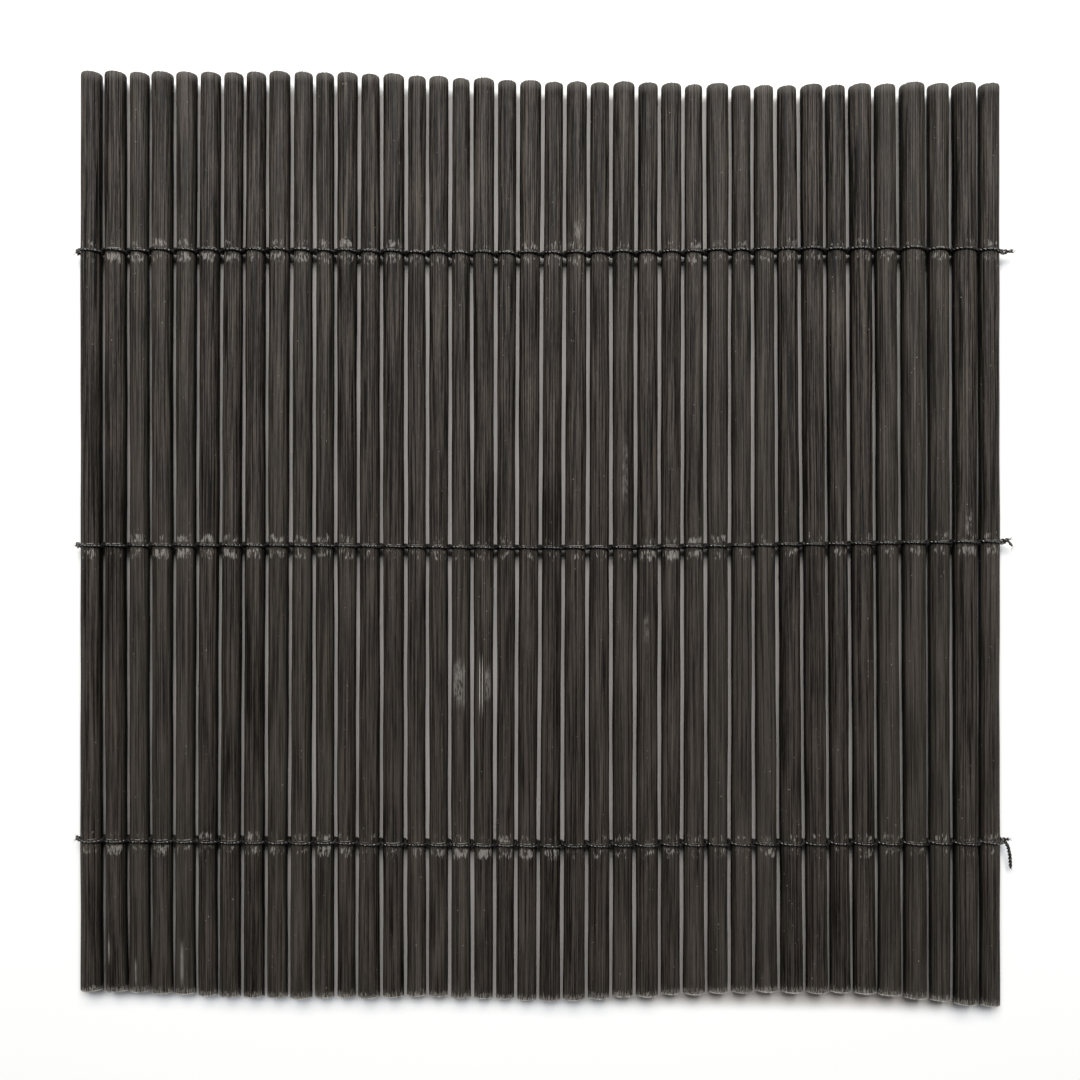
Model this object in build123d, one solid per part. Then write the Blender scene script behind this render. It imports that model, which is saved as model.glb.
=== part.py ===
from build123d import *
import math
import os

# A sample of reed screen: a row of round hollow plastic reeds, bound side by side by three
# rows of twined cord. It lies on its back. Millimetres, +Z up out of its face, +Y along the
# reeds to their top ends, +X across them. The origin is below the middle of the sample.

# Driving dimensions: the reeds. Each one tapers, as cane does, between two of eight sizes,
# which are given from the left edge to the right.
reed_diameters = {"a": 6.0, "b": 6.3, "c": 6.6, "d": 6.9, "e": 7.2, "f": 7.5, "g": 7.9, "h": 8.4}
top_sizes = "debeddbcebadbeacaebebdbfcdafbccfcfehegd"
bottom_sizes = "edccbbddcebaedbbcbabdeecfbeceefeceffdgc"
reed_wall = 0.7
reed_flats = 22  # a reed is drawn out with lengthwise flats all round

# Driving dimensions: how far the reeds run past the middle binding, and what the freehand
# cuts add to that, at even steps from the left edge to the right
length_above = 155.6
length_below = 151.0
top_cut = (4.6, 4.2, 4.6, 3.2, 1.1, 0.7, -0.2, 0.1, 0.5)
bottom_cut = (-0.1, 1.8, 2.7, 2.0, 3.6, 1.6, 0.2, 1.3, 5.7)

# Driving dimensions: the bindings, and how far each one strays from its line, at like steps
binding_spacing = 100.0
binding_strays = {
    "top": (-0.4, -0.1, -0.1, -1.0, -1.2, -1.0, 0.0, 0.1, -0.3),
    "middle": (0.0, 0.1, 0.1, -0.5, -0.8, -0.6, 0.1, 0.7, 1.3),
    "bottom": (0.4, -0.1, -0.4, -1.1, -1.5, -1.1, -0.8, -0.6, -0.4),
}

# Driving dimensions: the twine, two strands to a binding
twine_thickness = 0.8
twine_play_in_gap = 0.2  # on each side of a strand, where it passes between two reeds
twine_play_on_reed = 0.05  # between a strand and the reed that it bends round
twine_play_beside = 0.15  # between the two strands, where they pass each other
left_stub = 1.5

# A four-cornered patch is plane if its corners enclose less than this, in cubic millimetres
warp_limit = 1e-7

# The loose ends past the last reed, in twine thicknesses: across, along the reeds and up,
# counted from the middle of the binding's line at the height of the last reed's axis
right_ends = {
    ("top", "a"): ((1.5, -0.7, -0.4), (3.0, -0.1, -0.8), (5.2, 1.1, -0.8)),
    ("top", "b"): ((1.5, 0.7, 0.4), (3.0, 0.1, 0.8), (4.8, -0.3, 0.8)),
    ("middle", "a"): ((1.6, -0.7, -0.4), (3.3, 0.5, -0.8), (5.2, -1.7, -0.8)),
    ("middle", "b"): ((1.6, 0.7, 0.4), (3.2, 1.0, 0.8)),
    ("bottom", "a"): ((1.9, -0.6, 0.0), (3.4, -3.0, -0.6), (4.6, -7.2, -1.6), (5.3, -12.2, -2.6)),
    ("bottom", "b"): ((1.6, 0.6, 0.3), (3.1, 0.7, 0.7)),
}

# Worked out from these: where the reeds lie along the top line and along the bottom line
reed_gap = twine_thickness + 2 * twine_play_in_gap
reed_lift = twine_thickness + twine_play_on_reed  # the reeds lie on the twine behind them


def lay_side_by_side(sizes):
    """Each reed's middle across the screen and its radius, from the left edge to the right."""
    laid = []
    edge = 0.0
    for size in sizes:
        radius = reed_diameters[size] / 2
        laid.append((edge + radius, radius))
        edge += 2 * radius + reed_gap
    return laid


top_line = lay_side_by_side(top_sizes)
bottom_line = lay_side_by_side(bottom_sizes)
screen_width = sum(top_line[-1])


def reed_at(number, y):
    """A reed's middle across the screen and its radius, at one place along it."""
    share = (length_above - y) / (length_above + length_below)
    (top_x, top_radius), (bottom_x, bottom_radius) = top_line[number], bottom_line[number]
    x = top_x * (1 - share) + bottom_x * share
    return x, top_radius * (1 - share) + bottom_radius * share


def on_line(offsets, x):
    """Read a wandering line, given at even steps across the screen, at one place."""
    place = x / screen_width * (len(offsets) - 1)
    step = min(max(int(place), 0), len(offsets) - 2)
    share = place - step
    return offsets[step] * (1 - share) + offsets[step + 1] * share


def flat_face(*corners):
    """A plane patch between these corners."""
    return Face(Wire.make_polygon(corners))


def skin_over(sections):
    """A solid with plane faces from the corners of each section to those of the next."""
    faces = [flat_face(*sections[0]), flat_face(*sections[-1])]
    for near, far in zip(sections, sections[1:]):
        for corner in range(len(near)):
            a, b, c, d = near[corner - 1], near[corner], far[corner], far[corner - 1]
            if abs((b - a).cross(c - a).dot(d - a)) < warp_limit:
                faces.append(flat_face(a, b, c, d))
            else:
                faces += [flat_face(a, b, c), flat_face(a, c, d)]
    return Solid(Shell(faces))


def make_reed(number):
    """One hollow reed: a tube with lengthwise flats, which tapers and leans a little from its
    top cut to its bottom cut. Its underside is level."""
    top_y = length_above + on_line(top_cut, top_line[number][0])
    bottom_y = -length_below - on_line(bottom_cut, bottom_line[number][0])
    turns = [2 * math.pi * (flat + 0.5) / reed_flats for flat in range(reed_flats)]
    outside, inside = [], []
    for y in (bottom_y, top_y):
        x, radius = reed_at(number, y)
        centre = Vector(x, y, reed_lift + radius)
        for ring, size in ((outside, radius), (inside, radius - reed_wall)):
            ring.append([centre + Vector(math.sin(turn), 0, math.cos(turn)) * size for turn in turns])
    return skin_over(outside) - skin_over(inside)


def twined_route(row_y, strays, over_first):
    """A strand's centre line, over one reed and under the next. It bends round each reed by
    eighths of a turn, and drifts to and fro along the reeds, so that the two strands of a
    binding pass each other side by side in every gap and twine always the same way."""
    drift = (twine_thickness + twine_play_beside) / 2
    side = 1 if over_first else -1
    route = []
    for number in range(len(top_line)):
        x, radius = reed_at(number, row_y + on_line(strays, top_line[number][0]))
        bend = radius + twine_play_on_reed + twine_thickness / 2
        half_pitch = radius + reed_gap / 2
        flat = bend * (math.sqrt(2) - 1)
        shoulder = bend * math.sqrt(2) - half_pitch
        for across, up in ((-half_pitch, shoulder), (-flat, bend), (flat, bend), (half_pitch, shoulder)):
            y = row_y + on_line(strays, x + across) - side * drift * across / half_pitch
            route.append(Vector(x + across, y, reed_lift + radius + side * up))
        side = -side
    return route


def without_drift(step):
    """A step of the route as seen along the reeds."""
    return Vector(step.X, 0, step.Z)


def make_strand(row_y, strays, over_first, right_end):
    """One whole strand of four-sided twine with mitred bends: the stub at the left edge, the
    twined length and the loose end at the right edge."""
    twined = twined_route(row_y, strays, over_first)
    stub = twined[0] - without_drift(twined[1] - twined[0]).normalized() * left_stub
    last_x, last_radius = reed_at(-1, row_y)
    beside = last_x + last_radius + reed_gap / 2
    start_of_end = Vector(beside, row_y + on_line(strays, beside), reed_lift + last_radius)
    loose = [start_of_end + Vector(*point) * twine_thickness for point in right_end]
    route = [stub] + twined + loose

    sections = []
    sideways = Vector(0, 1, 0)
    for place, here in enumerate(route):
        before = route[max(place, 1)] - route[max(place, 1) - 1]
        after = route[min(place + 1, len(route) - 1)] - route[min(place, len(route) - 2)]
        if place <= len(twined):
            before, after = without_drift(before), without_drift(after)
        mitre = (before.normalized() + after.normalized()).normalized()
        sideways = (sideways - mitre * sideways.dot(mitre)).normalized()
        half_width = sideways * twine_thickness / 2
        half_depth = mitre.cross(sideways) * twine_thickness / 2 / mitre.dot(after.normalized())
        sections.append([
            here - half_width - half_depth, here + half_width - half_depth,
            here + half_width + half_depth, here - half_width + half_depth,
        ])
    return skin_over(sections)


pieces = {}
for number in range(len(top_line)):
    pieces[f"reed_{number + 1:02d}"] = make_reed(number)
for row, row_y in (("top", binding_spacing), ("middle", 0.0), ("bottom", -binding_spacing)):
    for strand, over_first in (("a", True), ("b", False)):
        name = f"{row}_twine_{strand}"
        pieces[name] = make_strand(row_y, binding_strays[row], over_first, right_ends[row, strand])

# The whole is moved so that the origin is below its middle
middle = Compound(pieces.values()).bounding_box().center()
to_middle = Pos(-middle.X, -middle.Y, 0)

os.makedirs("parts", exist_ok=True)
for name, piece in pieces.items():
    export_step(to_middle * piece, f"parts/{name}.step")
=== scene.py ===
import math
import bpy
import numpy as np
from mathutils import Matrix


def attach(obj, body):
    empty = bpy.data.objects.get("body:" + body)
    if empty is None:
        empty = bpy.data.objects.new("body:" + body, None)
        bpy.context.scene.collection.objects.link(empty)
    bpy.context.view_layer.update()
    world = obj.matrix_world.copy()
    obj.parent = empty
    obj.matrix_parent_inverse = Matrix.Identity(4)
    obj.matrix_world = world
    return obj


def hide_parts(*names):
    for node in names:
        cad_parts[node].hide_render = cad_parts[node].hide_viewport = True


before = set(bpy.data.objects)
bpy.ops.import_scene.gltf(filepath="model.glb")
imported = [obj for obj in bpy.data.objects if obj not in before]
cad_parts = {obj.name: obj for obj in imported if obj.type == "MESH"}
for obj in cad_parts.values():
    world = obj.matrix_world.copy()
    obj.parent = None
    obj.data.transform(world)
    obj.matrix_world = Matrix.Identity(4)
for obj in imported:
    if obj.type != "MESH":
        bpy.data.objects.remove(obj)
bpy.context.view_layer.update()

# The reeds: hollow canes drawn out of dark grey plastic, with lengthwise grooves all round.
# They lie side by side, a little askew. Shears cut them to length, which pressed the feet
# oval and left the cut edges bent over, whitened and rough.
reed_wall = 0.0007
groove_count = 28
columns_per_groove = 5
groove_widths = (0.5, 1.5)  # shares of an even spacing
groove_depths = (0.00004, 0.00015)
land_roughness = 0.000012
waviness = 0.00005
swell_rates = (71, 163)  # waves along a reed, in radians to the metre
sway_rate = 43
plain_step = 0.0095  # between the rings of points along a reed's plain length
steps_from_cut = (0.0, 0.00012, 0.0003, 0.0006, 0.001, 0.0016, 0.0026, 0.0045, 0.0075)
top_rounding = 0.0011
top_drop = 0.0004
foot_rounding = 0.0004
foot_drop = 0.00012
edge_crush = (0.6, 1.3)  # how much more or less than that a cut edge is bent in
edge_ragged = 0.00016
ragged_length = 0.001
rim_depth = 0.004  # how far the bore's points stand in from the cuts
cut_zone = 0.02  # how far from a cut its marks can reach
same_cut = 0.00001  # corners this near a cut lie on it
on_crest = 0.6  # the share of a reed's radius within which a strand crosses its crest
reed_draws = np.random.default_rng(39)
reed_numbers = range(1, sum(name.startswith("reed_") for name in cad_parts) + 1)
binding_names = ("top", "middle", "bottom")

# How the shears left the feet: how far the crest stops short of the sides, how far up that
# and the oval reach, which feet are pressed most, and which were pushed aside
foot_slants = (0.0005, 0.0007)
slant_length = 0.012
foot_trim = 0.0004
crush_length = 0.016
plain_feet = (0.01, 0.05)
crushed_feet = {2: 0.11, 3: 0.20, 4: 0.13, 5: 0.17, 33: 0.10, 34: 0.13, 35: 0.08}
foot_shifts = {2: 0.0004, 3: 0.00005, 4: -0.00034, 5: -0.00013, 6: 0.00024, 34: 0.0002}

# How strongly each reed is scuffed beside each binding: reed numbers and strengths
faintly_scuffed = 0.3
scuffs = {
    "top": {1: 0.5, 2: 0.7, 3: 0.8, 4: 0.7, 5: 0.8, 6: 0.7, 7: 0.7, 9: 0.6, 10: 0.8, 11: 0.7, 12: 0.9,
            13: 0.6, 14: 0.7, 16: 0.5, 20: 0.7, 21: 0.6, 22: 0.6, 27: 0.6, 31: 0.5, 35: 0.5, 39: 0.5},
    "middle": {1: 0.5, 3: 0.8, 4: 1.0, 5: 0.9, 6: 0.8, 7: 1.0, 8: 0.8, 9: 0.9, 10: 0.7, 11: 0.9, 12: 0.6,
               16: 0.5, 25: 0.9, 26: 1.0, 27: 0.9, 28: 0.6, 33: 0.5, 38: 0.7, 39: 0.6},
    "bottom": {2: 0.9, 4: 0.8, 6: 0.8, 8: 0.6, 11: 0.9, 12: 0.8, 16: 0.7, 17: 1.0, 18: 1.0, 19: 1.0,
               20: 1.0, 21: 0.8, 24: 0.6, 26: 0.6, 30: 0.6, 34: 0.5},
}

# Longer scuffs: the reed, the middle and half length along it, the middle and half width
# across it as shares of its radius, the strength, and how much it is broken up
long_scuffs = (
    (17, -0.0480, 0.0100, -0.25, 0.70, 0.48, 1.0),
    (17, -0.0490, 0.0110, 0.40, 0.12, 0.50, 0.5),
    (18, -0.0490, 0.0120, -0.34, 0.055, 1.20, 0.1),
    (18, -0.0490, 0.0120, -0.06, 0.055, 1.20, 0.1),
    (18, -0.0485, 0.0070, 0.48, 0.40, 0.45, 1.0),
    (5, -0.1433, 0.0090, -0.08, 0.20, 0.50, 0.3),
    (2, -0.1380, 0.0060, -0.40, 0.12, 0.60, 0.6),
    (3, -0.1460, 0.0060, -0.15, 0.12, 0.45, 0.4),
    (24, 0.0230, 0.0140, 0.10, 0.35, 0.30, 1.0),
    (25, -0.0300, 0.0060, -0.20, 0.30, 0.35, 1.0),
    (38, 0.0060, 0.0050, 0.00, 0.35, 0.45, 1.0),
    (22, 0.1040, 0.0045, 0.10, 0.45, 0.50, 1.0),
)


def node_points(name):
    """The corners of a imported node's solid."""
    return np.array([v.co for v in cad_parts[name].data.vertices])


def reed_end(number, top):
    """The middle and the radius of one cut end of a reed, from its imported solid."""
    points = node_points(f"reed_{number:02d}")
    cut = points[:, 1].max() if top else points[:, 1].min()
    rim = points[np.abs(points[:, 1] - cut) < same_cut]
    low, high = rim.min(axis=0), rim.max(axis=0)
    return (low + high) / 2, (high[0] - low[0]) / 2


reed_feet = {number: reed_end(number, False) for number in reed_numbers}
reed_tops = {number: reed_end(number, True) for number in reed_numbers}
strand_corners = {binding: node_points(f"{binding}_twine_a") for binding in binding_names}


def reed_at(number, y):
    """A reed's middle and radius at one place along it."""
    (foot, foot_radius), (top, top_radius) = reed_feet[number], reed_tops[number]
    share = (y - foot[1]) / (top[1] - foot[1])
    return foot + (top - foot) * share, foot_radius + (top_radius - foot_radius) * share


def binding_line(binding, number):
    """Where along a reed a binding's line crosses it."""
    corners = strand_corners[binding]
    middle, radius = reed_at(number, corners[:, 1].mean())
    near = np.abs(corners[:, 0] - middle[0]) < radius * on_crest
    return corners[near, 1].mean()


def mesh_from(name, points, faces, skin, values):
    """A smooth mesh with its skin coordinates, around and along, and its values by point."""
    mesh = bpy.data.meshes.new(name)
    mesh.from_pydata(points.tolist(), [], faces)
    for value_name, numbers in values.items():
        attribute = mesh.attributes.new(value_name, "FLOAT", "POINT")
        attribute.data.foreach_set("value", np.ascontiguousarray(numbers, np.float32))
    layer = mesh.uv_layers.new(name="skin")
    corners = np.zeros(len(mesh.loops), np.int32)
    mesh.loops.foreach_get("vertex_index", corners)
    layer.data.foreach_set("uv", np.ascontiguousarray(skin[corners], np.float32).ravel())
    mesh.shade_smooth()
    made = bpy.data.objects.new(name, mesh)
    bpy.context.scene.collection.objects.link(made)
    return made


def rings_to_quads(rings, columns, joined_up=False):
    """The faces between rings of points, each ring joined to the next and the last to the first."""
    ring = np.arange(rings if joined_up else rings - 1)[:, None]
    column = np.arange(columns)[None, :]
    here = ring * columns + column
    beside = ring * columns + (column + 1) % columns
    above = (ring + 1) % rings * columns
    quads = np.stack([here, beside, above + (column + 1) % columns, above + column], -1)
    return quads.reshape(-1, 4).tolist()


def edge_drop(from_cut, rounding, drop):
    """How far a cut edge is bent in, over its last stretch."""
    bent = np.clip(1 - from_cut / rounding, 0, 1)
    return drop * (1 - np.sqrt(1 - bent ** 2))


def make_reed(number):
    """One reed: the grooved outside from foot to top, the rim, the bore and the other rim."""
    (foot, foot_radius), (top, top_radius) = reed_feet[number], reed_tops[number]
    length = top[1] - foot[1]
    last_step = steps_from_cut[-1]
    plain = np.linspace(last_step, length - last_step, int((length - 2 * last_step) / plain_step))
    near_top = length - np.array(steps_from_cut[-2::-1])
    from_foot = np.concatenate([steps_from_cut[:-1], plain, near_top])
    columns = groove_count * columns_per_groove

    widths = np.repeat(reed_draws.uniform(*groove_widths, groove_count), columns_per_groove)
    turn = 2 * math.pi * np.cumsum(widths) / widths.sum() + reed_draws.uniform(0, 2 * math.pi)
    groove = np.zeros(columns)
    groove[::columns_per_groove] = reed_draws.uniform(*groove_depths, groove_count)
    groove[2::columns_per_groove] = reed_draws.uniform(0, groove_depths[1] / 3, groove_count)
    groove += reed_draws.uniform(0, land_roughness, columns)

    crush = reed_draws.uniform(*edge_crush, 2)
    drop = crush[0] * edge_drop(from_foot, foot_rounding, foot_drop)
    drop += crush[1] * edge_drop(length - from_foot, top_rounding, top_drop)
    phase = reed_draws.uniform(0, 2 * math.pi, 3)
    swell = waviness * np.sin(np.outer(from_foot, swell_rates) + phase[:2]).sum(axis=1)
    sway = waviness * np.sin(from_foot * sway_rate + phase[2])
    radius = foot_radius + (top_radius - foot_radius) * from_foot / length + swell - drop
    outside = radius[:, None] - groove

    ragged = reed_draws.normal(0, edge_ragged, (2, columns))
    ragged = np.clip(np.abs(ragged), 0, 2 * edge_ragged)
    foot_fade = np.clip(1 - from_foot / ragged_length, 0, 1)[:, None] ** 2
    top_fade = np.clip(1 - (length - from_foot) / ragged_length, 0, 1)[:, None] ** 2
    along = from_foot[:, None] + ragged[0] * foot_fade - ragged[1] * top_fade

    bore = foot_radius + (top_radius - foot_radius) * np.array([1, 1, 0, 0]) - reed_wall
    bore_along = np.array([length - edge_ragged, length - rim_depth, rim_depth, edge_ragged])
    reach = np.concatenate([outside, bore[:, None] + np.zeros(columns)])
    place = np.concatenate([along, bore_along[:, None] + np.zeros(columns)])
    sway = np.concatenate([sway, np.zeros(len(bore))])[:, None]

    near_foot = np.exp(-place / crush_length)
    oval = crushed_feet.get(number, reed_draws.uniform(*plain_feet)) * near_foot
    shift = foot_shifts.get(number, 0.0) * near_foot
    near_cut = np.clip(1 - place / slant_length, 0, 1) ** 2
    slant = reed_draws.uniform(*foot_slants) * (1 - 2 * oval[0].max())
    slant = slant * (1 - np.cos(turn)) ** 2 - foot_trim
    lean = (top - foot) / length
    x = foot[0] + lean[0] * place + sway + shift + reach * (1 + oval) * np.sin(turn)
    y = foot[1] + place - slant * near_cut
    z = foot[2] + lean[2] * place - foot_radius * oval / 2 + reach * (1 - oval) * np.cos(turn)
    points = np.stack([x, y, z], -1).reshape(-1, 3)

    rings = len(reach)
    place = place.ravel()
    groove_shares = np.tile(groove / groove_depths[1], len(outside))
    values = {
        "from_top_cut": np.clip(length - place, 0, cut_zone) * 1000,
        "from_foot_cut": np.clip(place, 0, cut_zone) * 1000,
        "reed_number": np.full(len(points), float(number)),
        "groove": np.concatenate([groove_shares, np.zeros(len(bore) * columns)]),
        "crest": np.tile(np.cos(turn), rings),
        "side": np.tile(np.sin(turn), rings),
    }
    for binding in binding_names:
        line = binding_line(binding, number)
        values[f"past_{binding}_line"] = (points[:, 1] - line) * 1000
        strength = scuffs[binding].get(number, faintly_scuffed)
        values[f"scuff_{binding}"] = np.full(len(points), strength)
    around = np.tile((turn - turn[0]) * (foot_radius + top_radius) / 2, rings)
    skin = np.stack([around, points[:, 1]], -1)
    faces = rings_to_quads(rings, columns, joined_up=True)
    reed = mesh_from(f"reed_{number:02d}_cane", points, faces, skin, values)
    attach(reed, "root")
    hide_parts(f"reed_{number:02d}")
    return reed


def put(tree, kind, inputs=(), **settings):
    """A new shader node, with its settings and with values or links on its sockets."""
    made = tree.nodes.new(kind)
    for name, value in settings.items():
        setattr(made, name, value)
    for socket, value in dict(inputs).items():
        if isinstance(value, bpy.types.NodeSocket):
            tree.links.new(value, made.inputs[socket])
        else:
            made.inputs[socket].default_value = value
    return made


def sum_up(tree, operation, first, second=0.0, third=0.0):
    """The outcome of one Math node."""
    return put(tree, "ShaderNodeMath", {0: first, 1: second, 2: third}, operation=operation).outputs[0]


def times(tree, *factors):
    """The product of two or more values."""
    product = factors[0]
    for factor in factors[1:]:
        product = sum_up(tree, "MULTIPLY", product, factor)
    return product


def plus(tree, *terms):
    """The sum of two or more values."""
    total = terms[0]
    for term in terms[1:]:
        total = sum_up(tree, "ADD", total, term)
    return total


def fade(tree, value, start, end, low=0.0, high=1.0):
    """A smooth change from low to high while value goes from start to end."""
    inputs = {"Value": value, "From Min": start, "From Max": end, "To Min": low, "To Max": high}
    return put(tree, "ShaderNodeMapRange", inputs, interpolation_type="SMOOTHSTEP").outputs["Result"]


def band(tree, value, start, full, last, end):
    """A value that rises from 0 at start to 1 at full, and falls from 1 at last to 0 at end."""
    return times(tree, fade(tree, value, start, full), fade(tree, value, last, end, 1.0, 0.0))


def blend_colours(tree, share, first, second):
    """A mix of two colours."""
    inputs = {0: share, 6: first, 7: second}
    return put(tree, "ShaderNodeMix", inputs, data_type="RGBA").outputs[2]


def read_value(tree, name):
    """A value that a mesh carries for each point."""
    return put(tree, "ShaderNodeAttribute", attribute_name=name).outputs["Fac"]


def skin_stretched(tree, across, along, apart=0.0):
    """Skin coordinates in which a texture's grain is this wide and this long, in metres."""
    skin = put(tree, "ShaderNodeUVMap", uv_map="skin").outputs["UV"]
    parts = put(tree, "ShaderNodeSeparateXYZ", {0: skin})
    wide = times(tree, parts.outputs["X"], 1 / across)
    long = times(tree, parts.outputs["Y"], 1 / along)
    return put(tree, "ShaderNodeCombineXYZ", {0: wide, 1: long, 2: apart}).outputs[0]


def grain(tree, coordinates, detail=2.0, roughness=0.5):
    """Cloudy noise between 0 and 1 over these coordinates."""
    inputs = {"Vector": coordinates, "Scale": 1.0, "Detail": detail, "Roughness": roughness}
    return put(tree, "ShaderNodeTexNoise", inputs).outputs["Fac"]


def make_dust_group():
    """Small pale specks, as plastic dust leaves them: a mask between 0 and 1."""
    group = bpy.data.node_groups.new("plastic_dust", "ShaderNodeTree")
    group.interface.new_socket("Coordinates", in_out="INPUT", socket_type="NodeSocketVector")
    group.interface.new_socket("Speck Size", in_out="INPUT", socket_type="NodeSocketFloat")
    group.interface.new_socket("Share", in_out="INPUT", socket_type="NodeSocketFloat")
    group.interface.new_socket("Mask", in_out="OUTPUT", socket_type="NodeSocketFloat")
    entry = group.nodes.new("NodeGroupInput")
    cells = put(group, "ShaderNodeTexVoronoi", {"Vector": entry.outputs["Coordinates"], "Scale": 1.0})
    picked = put(group, "ShaderNodeSeparateColor", {0: cells.outputs["Color"]})
    near = sum_up(group, "LESS_THAN", picked.outputs[0], entry.outputs["Share"])
    reach = times(group, picked.outputs[1], entry.outputs["Speck Size"])
    inside = sum_up(group, "SUBTRACT", reach, cells.outputs["Distance"])
    mask = times(group, near, fade(group, inside, 0.0, 0.08))
    put(group, "NodeGroupOutput", {"Mask": mask})
    return group


dust_group = make_dust_group()


def dust(tree, coordinates, speck_size, share):
    """The mask of the dust group, placed in a material."""
    inputs = {"Coordinates": coordinates, "Speck Size": speck_size, "Share": share}
    return put(tree, "ShaderNodeGroup", inputs, node_tree=dust_group).outputs["Mask"]


def new_material(name):
    """An empty material with its Principled shader and output."""
    material = bpy.data.materials.new(name)
    material.use_nodes = True
    tree = material.node_tree
    tree.nodes.clear()
    shader = put(tree, "ShaderNodeBsdfPrincipled")
    put(tree, "ShaderNodeOutputMaterial", {"Surface": shader.outputs["BSDF"]})
    return material, tree, shader


reed_dark = (0.0050, 0.0039, 0.0030, 1)
reed_light = (0.132, 0.114, 0.097, 1)
# painted shade: a near-black for the reeds' flanks, where they turn down into the crevices between
# neighbours
reed_shaded = (0.0022, 0.0018, 0.0014, 1)
reed_faded = (0.050, 0.047, 0.040, 1)
own_noise = 7.31  # how far apart two neighbouring reeds' places in the noise are
own_fine_noise = 3.17
own_scuff_noise = 0.37
lower_end = -0.06  # between these places along a reed its lines grow crisper and its colour grows lighter, a painted light for the lamp beyond the top ends
upper_end = 0.15
stress_white = (0.44, 0.42, 0.39, 1)
cut_white = (0.72, 0.70, 0.67, 1)
dust_white = (0.52, 0.50, 0.47, 1)


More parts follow.
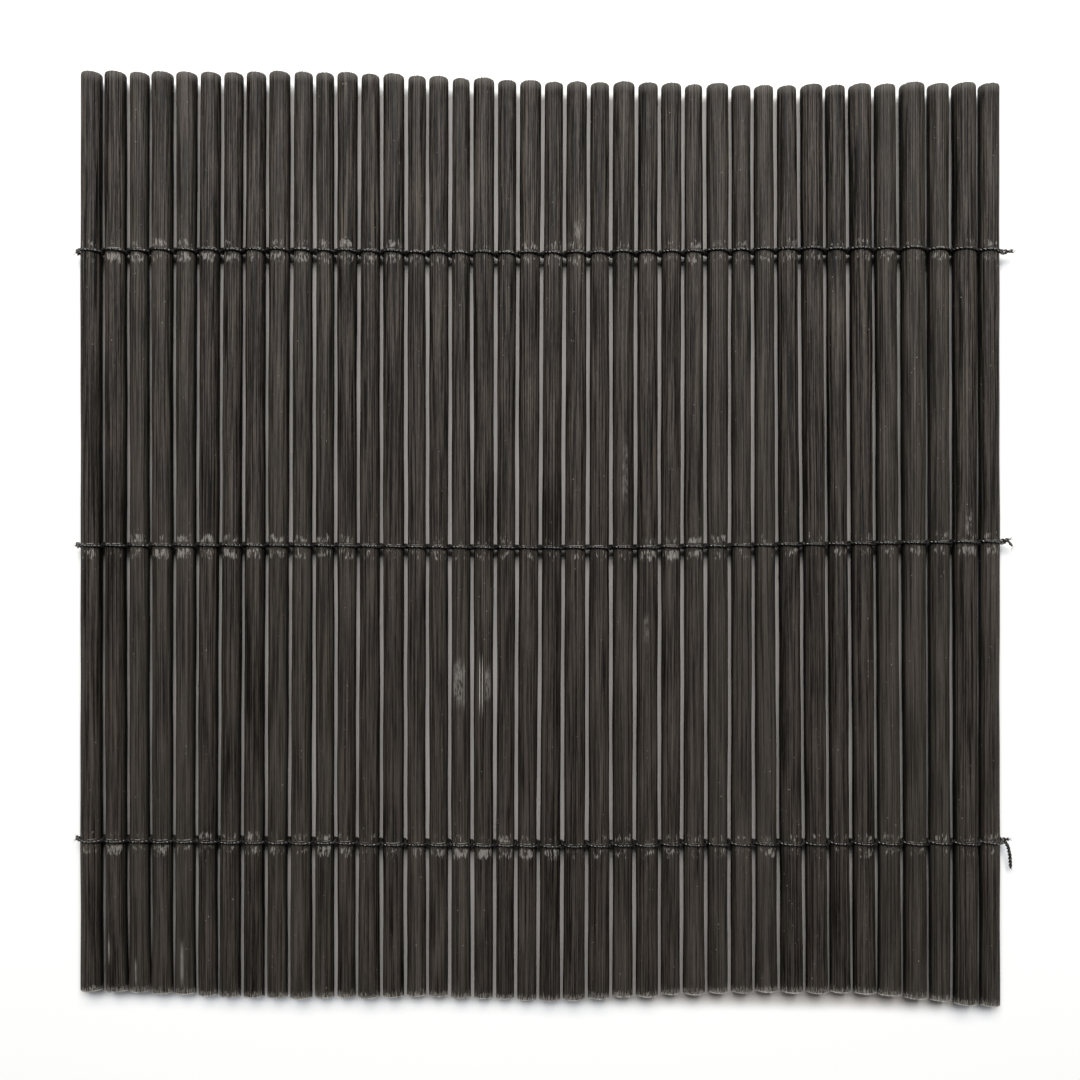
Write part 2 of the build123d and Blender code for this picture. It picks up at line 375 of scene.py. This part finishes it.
def reed_plastic():
    """Drawn plastic with streaks and hairlines along it, scuffs at the bindings and pale cuts, with
    painted shade on the flanks and in the grooves, painted light towards the top ends, and a pale line
    above each strand that is partly a rub mark and partly a painted highlight.
    """
    material, tree, shader = new_material("reed_plastic")
    number = read_value(tree, "reed_number")
    apart = times(tree, number, own_noise)
    groove = read_value(tree, "groove")
    crest = read_value(tree, "crest")
    side = read_value(tree, "side")
    from_top = read_value(tree, "from_top_cut")
    from_foot = read_value(tree, "from_foot_cut")
    skin = put(tree, "ShaderNodeUVMap", uv_map="skin").outputs["UV"]
    skin = put(tree, "ShaderNodeSeparateXYZ", {0: skin})

    streaks = grain(tree, skin_stretched(tree, 0.0009, 0.05, apart), 3.0, 0.6)
    streaks = fade(tree, streaks, 0.36, 0.64)
    hairlines = grain(tree, skin_stretched(tree, 0.00045, 0.03, apart), 2.0, 0.6)
    hairlines = fade(tree, hairlines, 0.36, 0.64)
    clouds = grain(tree, skin_stretched(tree, 0.006, 0.03, apart), 3.0, 0.6)
    own = grain(tree, put(tree, "ShaderNodeCombineXYZ", {0: apart, 1: 3.7, 2: 0.2}).outputs[0], 0.0)
    crisp = fade(tree, skin.outputs["Y"], lower_end, upper_end, 0.45, 1.0)
    light = plus(tree, times(tree, streaks, 0.30), times(tree, plus(tree, hairlines, -0.5), crisp, 0.8))
    # painted light: the reeds' colour grows lighter towards their top ends, nearer the lamp
    light = plus(tree, light, fade(tree, skin.outputs["Y"], lower_end, upper_end, 0.245, 0.285))
    light = plus(tree, light, sum_up(tree, "MULTIPLY_ADD", clouds, 0.55, -0.275))
    light = plus(tree, light, sum_up(tree, "MULTIPLY_ADD", own, 0.25, -0.125))
    # painted shade: the colour darkens in each groove, by the groove's depth
    light = sum_up(tree, "SUBTRACT", light, times(tree, groove, crisp, 0.85))
    fine = skin_stretched(tree, 0.00034, 0.0026, times(tree, number, own_fine_noise))
    fine = grain(tree, fine, 2.0, 0.6)
    light = plus(tree, light, times(tree, plus(tree, fine, -0.5), crisp, 0.9))
    light = put(tree, "ShaderNodeClamp", {0: light}).outputs[0]
    colour = blend_colours(tree, light, reed_dark, reed_light)
    colour = blend_colours(tree, fade(tree, own, 0.45, 0.70, 0.0, 0.25), colour, reed_faded)
    # painted shade: the flanks darken towards near-black as they turn away from the crest
    colour = blend_colours(tree, fade(tree, crest, 0.10, 0.60, 0.95, 0.0), colour, reed_shaded)

    flecks = grain(tree, skin_stretched(tree, 0.00032, 0.0026, apart), 2.0, 0.6)
    patches = grain(tree, skin_stretched(tree, 0.0014, 0.0024, apart), 1.0, 0.5)
    torn = plus(tree, times(tree, flecks, 0.65), times(tree, patches, 0.35))
    worn = 0.0
    rub_and_highlight = 0.0
    for row, binding in enumerate(binding_names):
        past = read_value(tree, f"past_{binding}_line")
        chance = {"W": plus(tree, number, row * own_scuff_noise)}
        chance = put(tree, "ShaderNodeTexWhiteNoise", chance, noise_dimensions="1D").outputs["Value"]
        below = band(tree, past, -5.5, -2.8, -1.8, -0.7)
        below = times(tree, below, fade(tree, chance, 0.1, 0.5, 0.5, 1.0))
        above = band(tree, past, 0.8, 1.4, 2.2, 4.5)
        above = times(tree, above, fade(tree, chance, 0.3, 0.8, 1.0, 0.2))
        strength = read_value(tree, f"scuff_{binding}")
        worn_here = times(tree, sum_up(tree, "MAXIMUM", below, above), strength)
        worn = sum_up(tree, "MAXIMUM", worn, worn_here)
        # painted highlight, partly a rub mark: a thin pale line just above each strand on the reed's
        # crest, standing in for the gloss on the twine's upper side
        line_here = band(tree, past, 0.46, 0.58, 0.66, 0.80)
        line_here = times(tree, line_here, fade(tree, chance, 0.2, 0.9, 0.35, 1.0))
        rub_and_highlight = sum_up(tree, "MAXIMUM", rub_and_highlight, line_here)
    worn = times(tree, worn, fade(tree, crest, 0.45, 0.90))
    scuffed = fade(tree, plus(tree, torn, times(tree, worn, 0.15)), 0.60, 0.65)
    scuffed = times(tree, scuffed, fade(tree, worn, 0.0, 0.25))
    rub_and_highlight = times(tree, rub_and_highlight, fade(tree, crest, 0.55, 0.80))
    rub_and_highlight = times(tree, rub_and_highlight, fade(tree, patches, 0.45, 0.55, 0.1, 1.0))

    scraped = 0.0
    for reed, middle, half_length, offset, half_width, strength, broken in long_scuffs:
        here = sum_up(tree, "COMPARE", number, float(reed), 0.5)
        from_middle = sum_up(tree, "ABSOLUTE", plus(tree, skin.outputs["Y"], -middle))
        aside = sum_up(tree, "ABSOLUTE", plus(tree, side, -offset))
        mask = times(tree, here, fade(tree, from_middle, half_length * 0.3, half_length, 1.0, 0.0),
                     fade(tree, aside, half_width * 0.4, half_width, 1.0, 0.0))
        fibres = fade(tree, torn, 0.40, 0.60, 1.0 - broken, 1.0)
        scraped = sum_up(tree, "MAXIMUM", scraped, times(tree, mask, fibres, strength))
    scraped = times(tree, scraped, fade(tree, crest, 0.0, 0.2))

    specks = dust(tree, skin_stretched(tree, 0.0009, 0.0012, apart), 0.22, 0.22)
    specks = times(tree, specks, fade(tree, clouds, 0.42, 0.62))

    fuzz = grain(tree, skin_stretched(tree, 0.00022, 0.0022, apart), 3.0, 0.7)
    top_pale = fade(tree, from_top, 0.3, 4.0, 1.0, 0.0)
    top_pale = times(tree, top_pale, fade(tree, fuzz, 0.35, 0.60, 0.1, 0.35))
    foot_line = fade(tree, from_foot, 0.30, 0.75, 1.0, 0.0)
    foot_line = times(tree, foot_line, fade(tree, crest, -0.1, 0.3))
    foot_line = times(tree, foot_line, fade(tree, patches, 0.38, 0.55, 0.45, 0.95))
    foot_pale = fade(tree, plus(tree, fuzz, fade(tree, from_foot, 0.2, 4.0, 0.20, 0.0)), 0.62, 0.72)
    foot_pale = times(tree, foot_pale, fade(tree, from_foot, 2.0, 4.0, 0.7, 0.0))
    whitened = sum_up(tree, "MAXIMUM", top_pale, foot_pale)

    colour = blend_colours(tree, times(tree, scuffed, 0.47), colour, dust_white)
    # the pale line above the strands: partly a rub mark, partly a painted highlight
    colour = blend_colours(tree, times(tree, rub_and_highlight, 0.70), colour, dust_white)
    colour = blend_colours(tree, times(tree, scraped, 0.80), colour, dust_white)
    colour = blend_colours(tree, times(tree, whitened, 0.8), colour, stress_white)
    colour = blend_colours(tree, foot_line, colour, cut_white)
    colour = blend_colours(tree, times(tree, specks, 0.6), colour, dust_white)
    tree.links.new(colour, shader.inputs["Base Color"])

    matt = sum_up(tree, "MAXIMUM", scuffed, sum_up(tree, "MAXIMUM", scraped, whitened))
    rough = plus(tree, times(tree, streaks, 0.14), times(tree, matt, 0.2), 0.44)
    tree.links.new(rough, shader.inputs["Roughness"])
    shader.inputs["Specular IOR Level"].default_value = 0.22
    height = plus(tree, hairlines, times(tree, streaks, 1.2))
    bump = put(tree, "ShaderNodeBump", {"Height": height, "Strength": 0.7, "Distance": 0.00008})
    tree.links.new(bump.outputs["Normal"], shader.inputs["Normal"])
    return material


reed_material = reed_plastic()
for number in reed_numbers:
    make_reed(number).data.materials.append(reed_material)

# The bindings: each is two strands of thin black two-ply twine, waxed. Each strand goes over
# one reed and under the next, and the two pass each other side by side in every gap. They
# were pulled taut and cut off beside the first and the last reed, where their ends fray.
twine_thickness = 0.0008
twine_lift = 0.00006  # between a reed and the middle of the twine, past half its thickness
ply_radius = 0.00024
ply_offset = 0.00016
lay_length = 0.0026
gap_half_width = 0.0006
swelling_in_gap = 0.95
loose_swelling = {"top": 0.25, "middle": 0.35, "bottom": 0.65}
unevenness = ((0.05, 900, 1.3), (0.04, 2300, 0.0))  # its size, rate along the strand and start
loose_start = 0.002  # over this length past the last reed a strand swells
ring_step = 0.00028
twine_columns = 14
turns_over_reed = np.radians(np.linspace(-76, 76, 15))
drift_in_gap = 0.00038
left_stub = 0.0013
stub_slope = math.radians(40)
twine_draws = np.random.default_rng(6)

# The loose ends past the last reed, in twine thicknesses: across, along the reeds and up,
# from the binding's line at the height of the last reed's axis
right_ends = {
    ("top", "a"): ((1.5, -0.7, -0.4), (3.0, -0.1, -0.8), (5.2, 1.1, -0.8)),
    ("top", "b"): ((1.5, 0.7, 0.4), (3.0, 0.1, 0.8), (4.8, -0.3, 0.8)),
    ("middle", "a"): ((1.6, -0.7, -0.4), (3.3, 0.5, -0.8), (5.2, -1.7, -0.8)),
    ("middle", "b"): ((1.6, 0.7, 0.4), (3.2, 1.0, 0.8)),
    ("bottom", "a"): ((1.9, -0.6, 0.0), (3.4, -3.0, -0.6), (4.6, -7.2, -1.6), (5.3, -12.2, -2.6)),
    ("bottom", "b"): ((1.6, 0.6, 0.3), (3.1, 0.7, 0.7)),
}

# The fibres that stand out of each cut end
fibre_count = 9
fibre_lengths = (0.0006, 0.0016)
fibre_radius = 0.00006
fibre_spread = 0.7
fibre_rings = 6
fibre_columns = 5
fibre_root = -0.3  # a fibre starts this share of its length inside the strand


def strand_route(binding, strand):
    """A strand's middle line from end to end, and how near it is to a gap at each point."""
    side = 1 if strand == "a" else -1
    first_side = side
    route, in_gap = [], []
    for number in reed_numbers:
        line = binding_line(binding, number)
        middle, radius = reed_at(number, line)
        half_pitch = radius + gap_half_width
        rise = radius + twine_thickness / 2 + twine_lift
        for turn in turns_over_reed:
            across = math.sin(turn)
            y = line - side * drift_in_gap * across
            route.append((middle[0] + half_pitch * across, y, middle[2] + side * rise * math.cos(turn)))
            in_gap.append(1 - math.cos(turn))
        side = -side
    down = -first_side * math.sin(stub_slope)
    stub = route[0] + left_stub * np.array([-math.cos(stub_slope), 0, down])
    last, last_radius = reed_at(reed_numbers[-1], line)
    beside = np.array([last[0] + last_radius + gap_half_width, line, last[2]])
    loose = [beside + np.array(point) * twine_thickness for point in right_ends[binding, strand]]
    return np.array([stub] + route + loose), np.array([1.0] + in_gap + [0.0] * len(loose))


def evenly_spaced(route, in_gap, step):
    """The route as evenly spaced points, with its corners rounded."""
    for _ in range(2):
        lengths = np.concatenate([[0], np.cumsum(np.linalg.norm(np.diff(route, axis=0), axis=1))])
        even = np.linspace(0, lengths[-1], int(lengths[-1] / step) + 1)
        route = np.stack([np.interp(even, lengths, route[:, k]) for k in range(3)], -1)
        in_gap = np.interp(even, lengths, in_gap)
        inner = (route[:-2] + 2 * route[1:-1] + route[2:]) / 4
        route = np.concatenate([route[:1], inner, route[-1:]])
    return route, in_gap


def tube(route, radii, turn, first_point):
    """A closed tube round a route: its points and its faces. The directions across the route
    turn with it and don't twist, and each ring's radii and turns are given by column."""
    ahead = np.gradient(route, axis=0)
    ahead /= np.linalg.norm(ahead, axis=1)[:, None]
    across = np.zeros_like(route)
    current = np.array([0.0, 1.0, 0.0])
    for place, direction in enumerate(ahead):
        current = current - direction * current.dot(direction)
        current /= np.linalg.norm(current)
        across[place] = current
    up = np.cross(ahead, across)
    wide = (radii * np.cos(turn))[..., None]
    high = (radii * np.sin(turn))[..., None]
    rings = route[:, None, :] + across[:, None, :] * wide + up[:, None, :] * high
    ring_count, columns = radii.shape
    points = np.concatenate([rings.reshape(-1, 3), route[[0, -1]]])
    faces = rings_to_quads(ring_count, columns)
    last_ring = (ring_count - 1) * columns
    end = ring_count * columns
    for column in range(columns):
        beside = (column + 1) % columns
        faces.append([end, beside, column])
        faces.append([end + 1, last_ring + column, last_ring + beside])
    return points, [[first_point + corner for corner in face] for face in faces]


def loose_fibre(start, ahead):
    """The route of one fibre out of a cut end, bent to one side."""
    aside = twine_draws.normal(0, 1, 3)
    aside -= ahead * aside.dot(ahead)
    aside *= fibre_spread * twine_draws.uniform(0.3, 1.0) / np.linalg.norm(aside)
    reach = np.linspace(fibre_root, 1, fibre_rings)[:, None] * twine_draws.uniform(*fibre_lengths)
    bent = reach * np.abs(reach) / fibre_lengths[1]
    return start + ahead * reach + aside * (reach * 0.5 + bent) + aside * ply_offset


def make_strand(binding, strand):
    """One strand with its twisted plies, and the fibres at both cut ends."""
    route, in_gap = evenly_spaced(*strand_route(binding, strand), ring_step)
    along = np.arange(len(route)) * ring_step
    angle = np.linspace(0, 2 * math.pi, twine_columns, endpoint=False)
    flank = np.sqrt(ply_radius ** 2 - (ply_offset * np.sin(angle)) ** 2)
    two_ply = ply_offset * np.abs(np.cos(angle)) + flank
    last, last_radius = reed_at(reed_numbers[-1], route[-1, 1])
    loose = np.clip((route[:, 0] - last[0] - last_radius) / loose_start, 0, 1)
    thickness = 1 + sum(size * np.sin(along * rate + start) for size, rate, start in unevenness)
    thickness += swelling_in_gap * in_gap + loose_swelling[binding] * loose
    turn = angle[None, :] + (along * 2 * math.pi / lay_length)[:, None]
    points, faces = tube(route, two_ply[None, :] * thickness[:, None], turn, 0)
    around = np.concatenate([np.tile(angle * ply_radius * 2, len(route)), [0, 0]])
    onward = np.concatenate([np.repeat(along, twine_columns), along[[0, -1]]])
    skins = [np.stack([around, onward], -1)]
    all_points = [points]

    fibre_turn = np.linspace(0, 2 * math.pi, fibre_columns, endpoint=False)
    fibre_turn = fibre_turn[None, :] + np.zeros((fibre_rings, 1))
    fibre_radii = fibre_radius * np.linspace(1, 0.3, fibre_rings)[:, None] + np.zeros(fibre_columns)
    for end, before in ((0, 3), (-1, -4)):
        ahead = route[end] - route[before]
        ahead /= np.linalg.norm(ahead)
        for _ in range(fibre_count):
            so_far = sum(len(part) for part in all_points)
            points, more_faces = tube(loose_fibre(route[end], ahead), fibre_radii, fibre_turn, so_far)
            all_points.append(points)
            faces += more_faces
            skins.append(np.zeros((len(points), 2)) + twine_draws.uniform(0, 0.01, 2))
    name = f"{binding}_binding_strand_{strand}"
    made = mesh_from(name, np.concatenate(all_points), faces, np.concatenate(skins), {})
    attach(made, "root")
    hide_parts(f"{binding}_twine_{strand}")
    return made


twine_black = (0.0025, 0.0022, 0.0019, 1)
twine_grey = (0.014, 0.0125, 0.011, 1)
fibre_pale = (0.34, 0.33, 0.31, 1)


def waxed_twine():
    """Black fibres under wax, glossy on the crests of the plies, with a little pale lint."""
    material, tree, shader = new_material("waxed_twine")
    fibres = grain(tree, skin_stretched(tree, 0.00009, 0.0012), 2.0, 0.6)
    patches = grain(tree, skin_stretched(tree, 0.002, 0.006, 4.0), 2.0, 0.5)
    colour = blend_colours(tree, fade(tree, fibres, 0.35, 0.75), twine_black, twine_grey)
    pale = fade(tree, sum_up(tree, "MULTIPLY_ADD", patches, 0.35, fibres), 0.76, 0.92)
    colour = blend_colours(tree, times(tree, pale, 0.4), colour, fibre_pale)
    specks = dust(tree, skin_stretched(tree, 0.0006, 0.0006, 2.0), 0.3, 0.10)
    colour = blend_colours(tree, times(tree, specks, 0.4), colour, fibre_pale)
    tree.links.new(colour, shader.inputs["Base Color"])
    rough = fade(tree, patches, 0.40, 0.62, 0.20, 0.50)
    tree.links.new(rough, shader.inputs["Roughness"])
    shader.inputs["Specular IOR Level"].default_value = 1.0
    shader.inputs["Coat Weight"].default_value = 1.0
    shader.inputs["Coat Roughness"].default_value = 0.15
    bump = put(tree, "ShaderNodeBump", {"Height": fibres, "Strength": 0.5, "Distance": 0.00004})
    tree.links.new(bump.outputs["Normal"], shader.inputs["Normal"])
    return material


twine_material = waxed_twine()
for binding in binding_names:
    for strand in "ab":
        make_strand(binding, strand).data.materials.append(twine_material)

# The stage: a sheet of smooth white paper under the reeds, which the camera sees white around
# them, a soft lamp above and beyond their top ends, and a camera that looks straight down.
paper_size = 3.0
paper_white = (0.93, 0.905, 0.875, 1)
paper_drop = 0.0001  # it lies this far below the reeds' lowest twine
open_paper_glow = 0.39
far_paper_glow = 0.95
far_paper = (0.3, 1.2)  # between these distances the farther glow sets in
paper_margins = {
    "left": (0.004, 0.0005),
    "right": (0.004, 0.0005),
    "foot": (0.006, 0.001),
    "top": (0.001, -0.005),
}
half = paper_size / 2
paper_corners = [(-half, -half, 0), (half, -half, 0), (half, half, 0), (-half, half, 0)]
paper_mesh = bpy.data.meshes.new("paper")
paper_mesh.from_pydata(paper_corners, [], [(0, 1, 2, 3)])
paper = bpy.data.objects.new("paper", paper_mesh)
paper.location.z = -paper_drop
bpy.context.scene.collection.objects.link(paper)

paper_material, paper_tree, paper_shader = new_material("smooth_paper")
paper_shader.inputs["Base Color"].default_value = paper_white
paper_shader.inputs["Roughness"].default_value = 0.8
paper_shader.inputs["Specular IOR Level"].default_value = 0.2
spot = put(paper_tree, "ShaderNodeTexCoord").outputs["Object"]
paper_x, paper_y = put(paper_tree, "ShaderNodeSeparateXYZ", {0: spot}).outputs[:2]
first, last = reed_numbers[0], reed_numbers[-1]
left_edge = reed_at(first, 0.0)[0][0] - reed_at(first, 0.0)[1]
right_edge = reed_at(last, 0.0)[0][0] + reed_at(last, 0.0)[1]
width = right_edge - left_edge
covered = 1.0
for name, axis, sign in (("left", "X", -1), ("right", "X", 1), ("foot", "Y", -1), ("top", "Y", 1)):
    outer, inner = paper_margins[name]
    if axis == "X":
        edge = -right_edge if sign > 0 else left_edge
        past = sum_up(paper_tree, "MULTIPLY_ADD", paper_x, sign, edge)
    else:
        ends = reed_tops if sign > 0 else reed_feet
        rise = (ends[last][0][1] - ends[first][0][1]) / width
        start = ends[first][0][1] - rise * left_edge
        level = plus(paper_tree, times(paper_tree, paper_x, rise), start)
        past = times(paper_tree, sum_up(paper_tree, "SUBTRACT", paper_y, level), sign)
    covered = times(paper_tree, covered, fade(paper_tree, past, inner, outer, 1.0, 0.0))
rays = put(paper_tree, "ShaderNodeLightPath")
seen = sum_up(paper_tree, "MAXIMUM", rays.outputs["Is Camera Ray"], rays.outputs["Is Glossy Ray"])
distance = put(paper_tree, "ShaderNodeVectorMath", {0: spot}, operation="LENGTH").outputs["Value"]
glow = plus(paper_tree, fade(paper_tree, distance, *far_paper, 0.0, far_paper_glow), open_paper_glow)
glow = times(paper_tree, sum_up(paper_tree, "SUBTRACT", 1.0, covered), seen, glow)
paper_tree.links.new(glow, paper_shader.inputs["Emission Strength"])
paper_shader.inputs["Emission Color"].default_value = (0.84, 0.92, 1, 1)
paper_mesh.materials.append(paper_material)

lamp_data = bpy.data.lights.new("soft_box", "AREA")
lamp_data.shape = "RECTANGLE"
lamp_data.size = 0.95
lamp_data.size_y = 0.62
lamp_data.energy = 18.5
lamp_data.color = (1.0, 0.978, 0.953)
lamp = bpy.data.objects.new("soft_box", lamp_data)
lamp_lean = math.radians(35)
lamp_distance = 1.3
lamp.location = (0, lamp_distance * math.sin(lamp_lean), lamp_distance * math.cos(lamp_lean))
lamp.rotation_euler = (-lamp_lean, 0, 0)
bpy.context.scene.collection.objects.link(lamp)

world = bpy.data.worlds.new("soft_room")
world.use_nodes = True
world_tree = world.node_tree
world_tree.nodes.clear()
room = put(world_tree, "ShaderNodeBackground", {"Color": (1, 0.98, 0.955, 1), "Strength": 0.08})
white = put(world_tree, "ShaderNodeBackground", {"Color": (1, 1, 1, 1), "Strength": 1.0})
looked_at = put(world_tree, "ShaderNodeLightPath").outputs["Is Camera Ray"]
either = put(world_tree, "ShaderNodeMixShader", {0: looked_at, 1: room.outputs[0], 2: white.outputs[0]})
put(world_tree, "ShaderNodeOutputWorld", {"Surface": either.outputs[0]})
bpy.context.scene.world = world

photo_width = 1080
focal_length_in_pixels = 1020
metres_per_pixel = 0.00034  # at the height of the reeds' axes
middle_binding_row = 545.4
reed_axis_height = 0.0044
camera_x = -0.00186
camera_data = bpy.data.cameras.new("camera")
camera_data.sensor_width = 36
camera_data.lens = camera_data.sensor_width * focal_length_in_pixels / photo_width
camera_data.clip_start = 0.01
camera = bpy.data.objects.new("camera", camera_data)
middle_line = np.mean([binding_line("middle", number) for number in reed_numbers])
camera_y = middle_line + (middle_binding_row - photo_width / 2) * metres_per_pixel
camera_z = reed_axis_height + metres_per_pixel * focal_length_in_pixels
camera.location = (camera_x, camera_y, camera_z)
bpy.context.scene.collection.objects.link(camera)
bpy.context.scene.camera = camera
bpy.context.scene.view_settings.view_transform = "Standard"
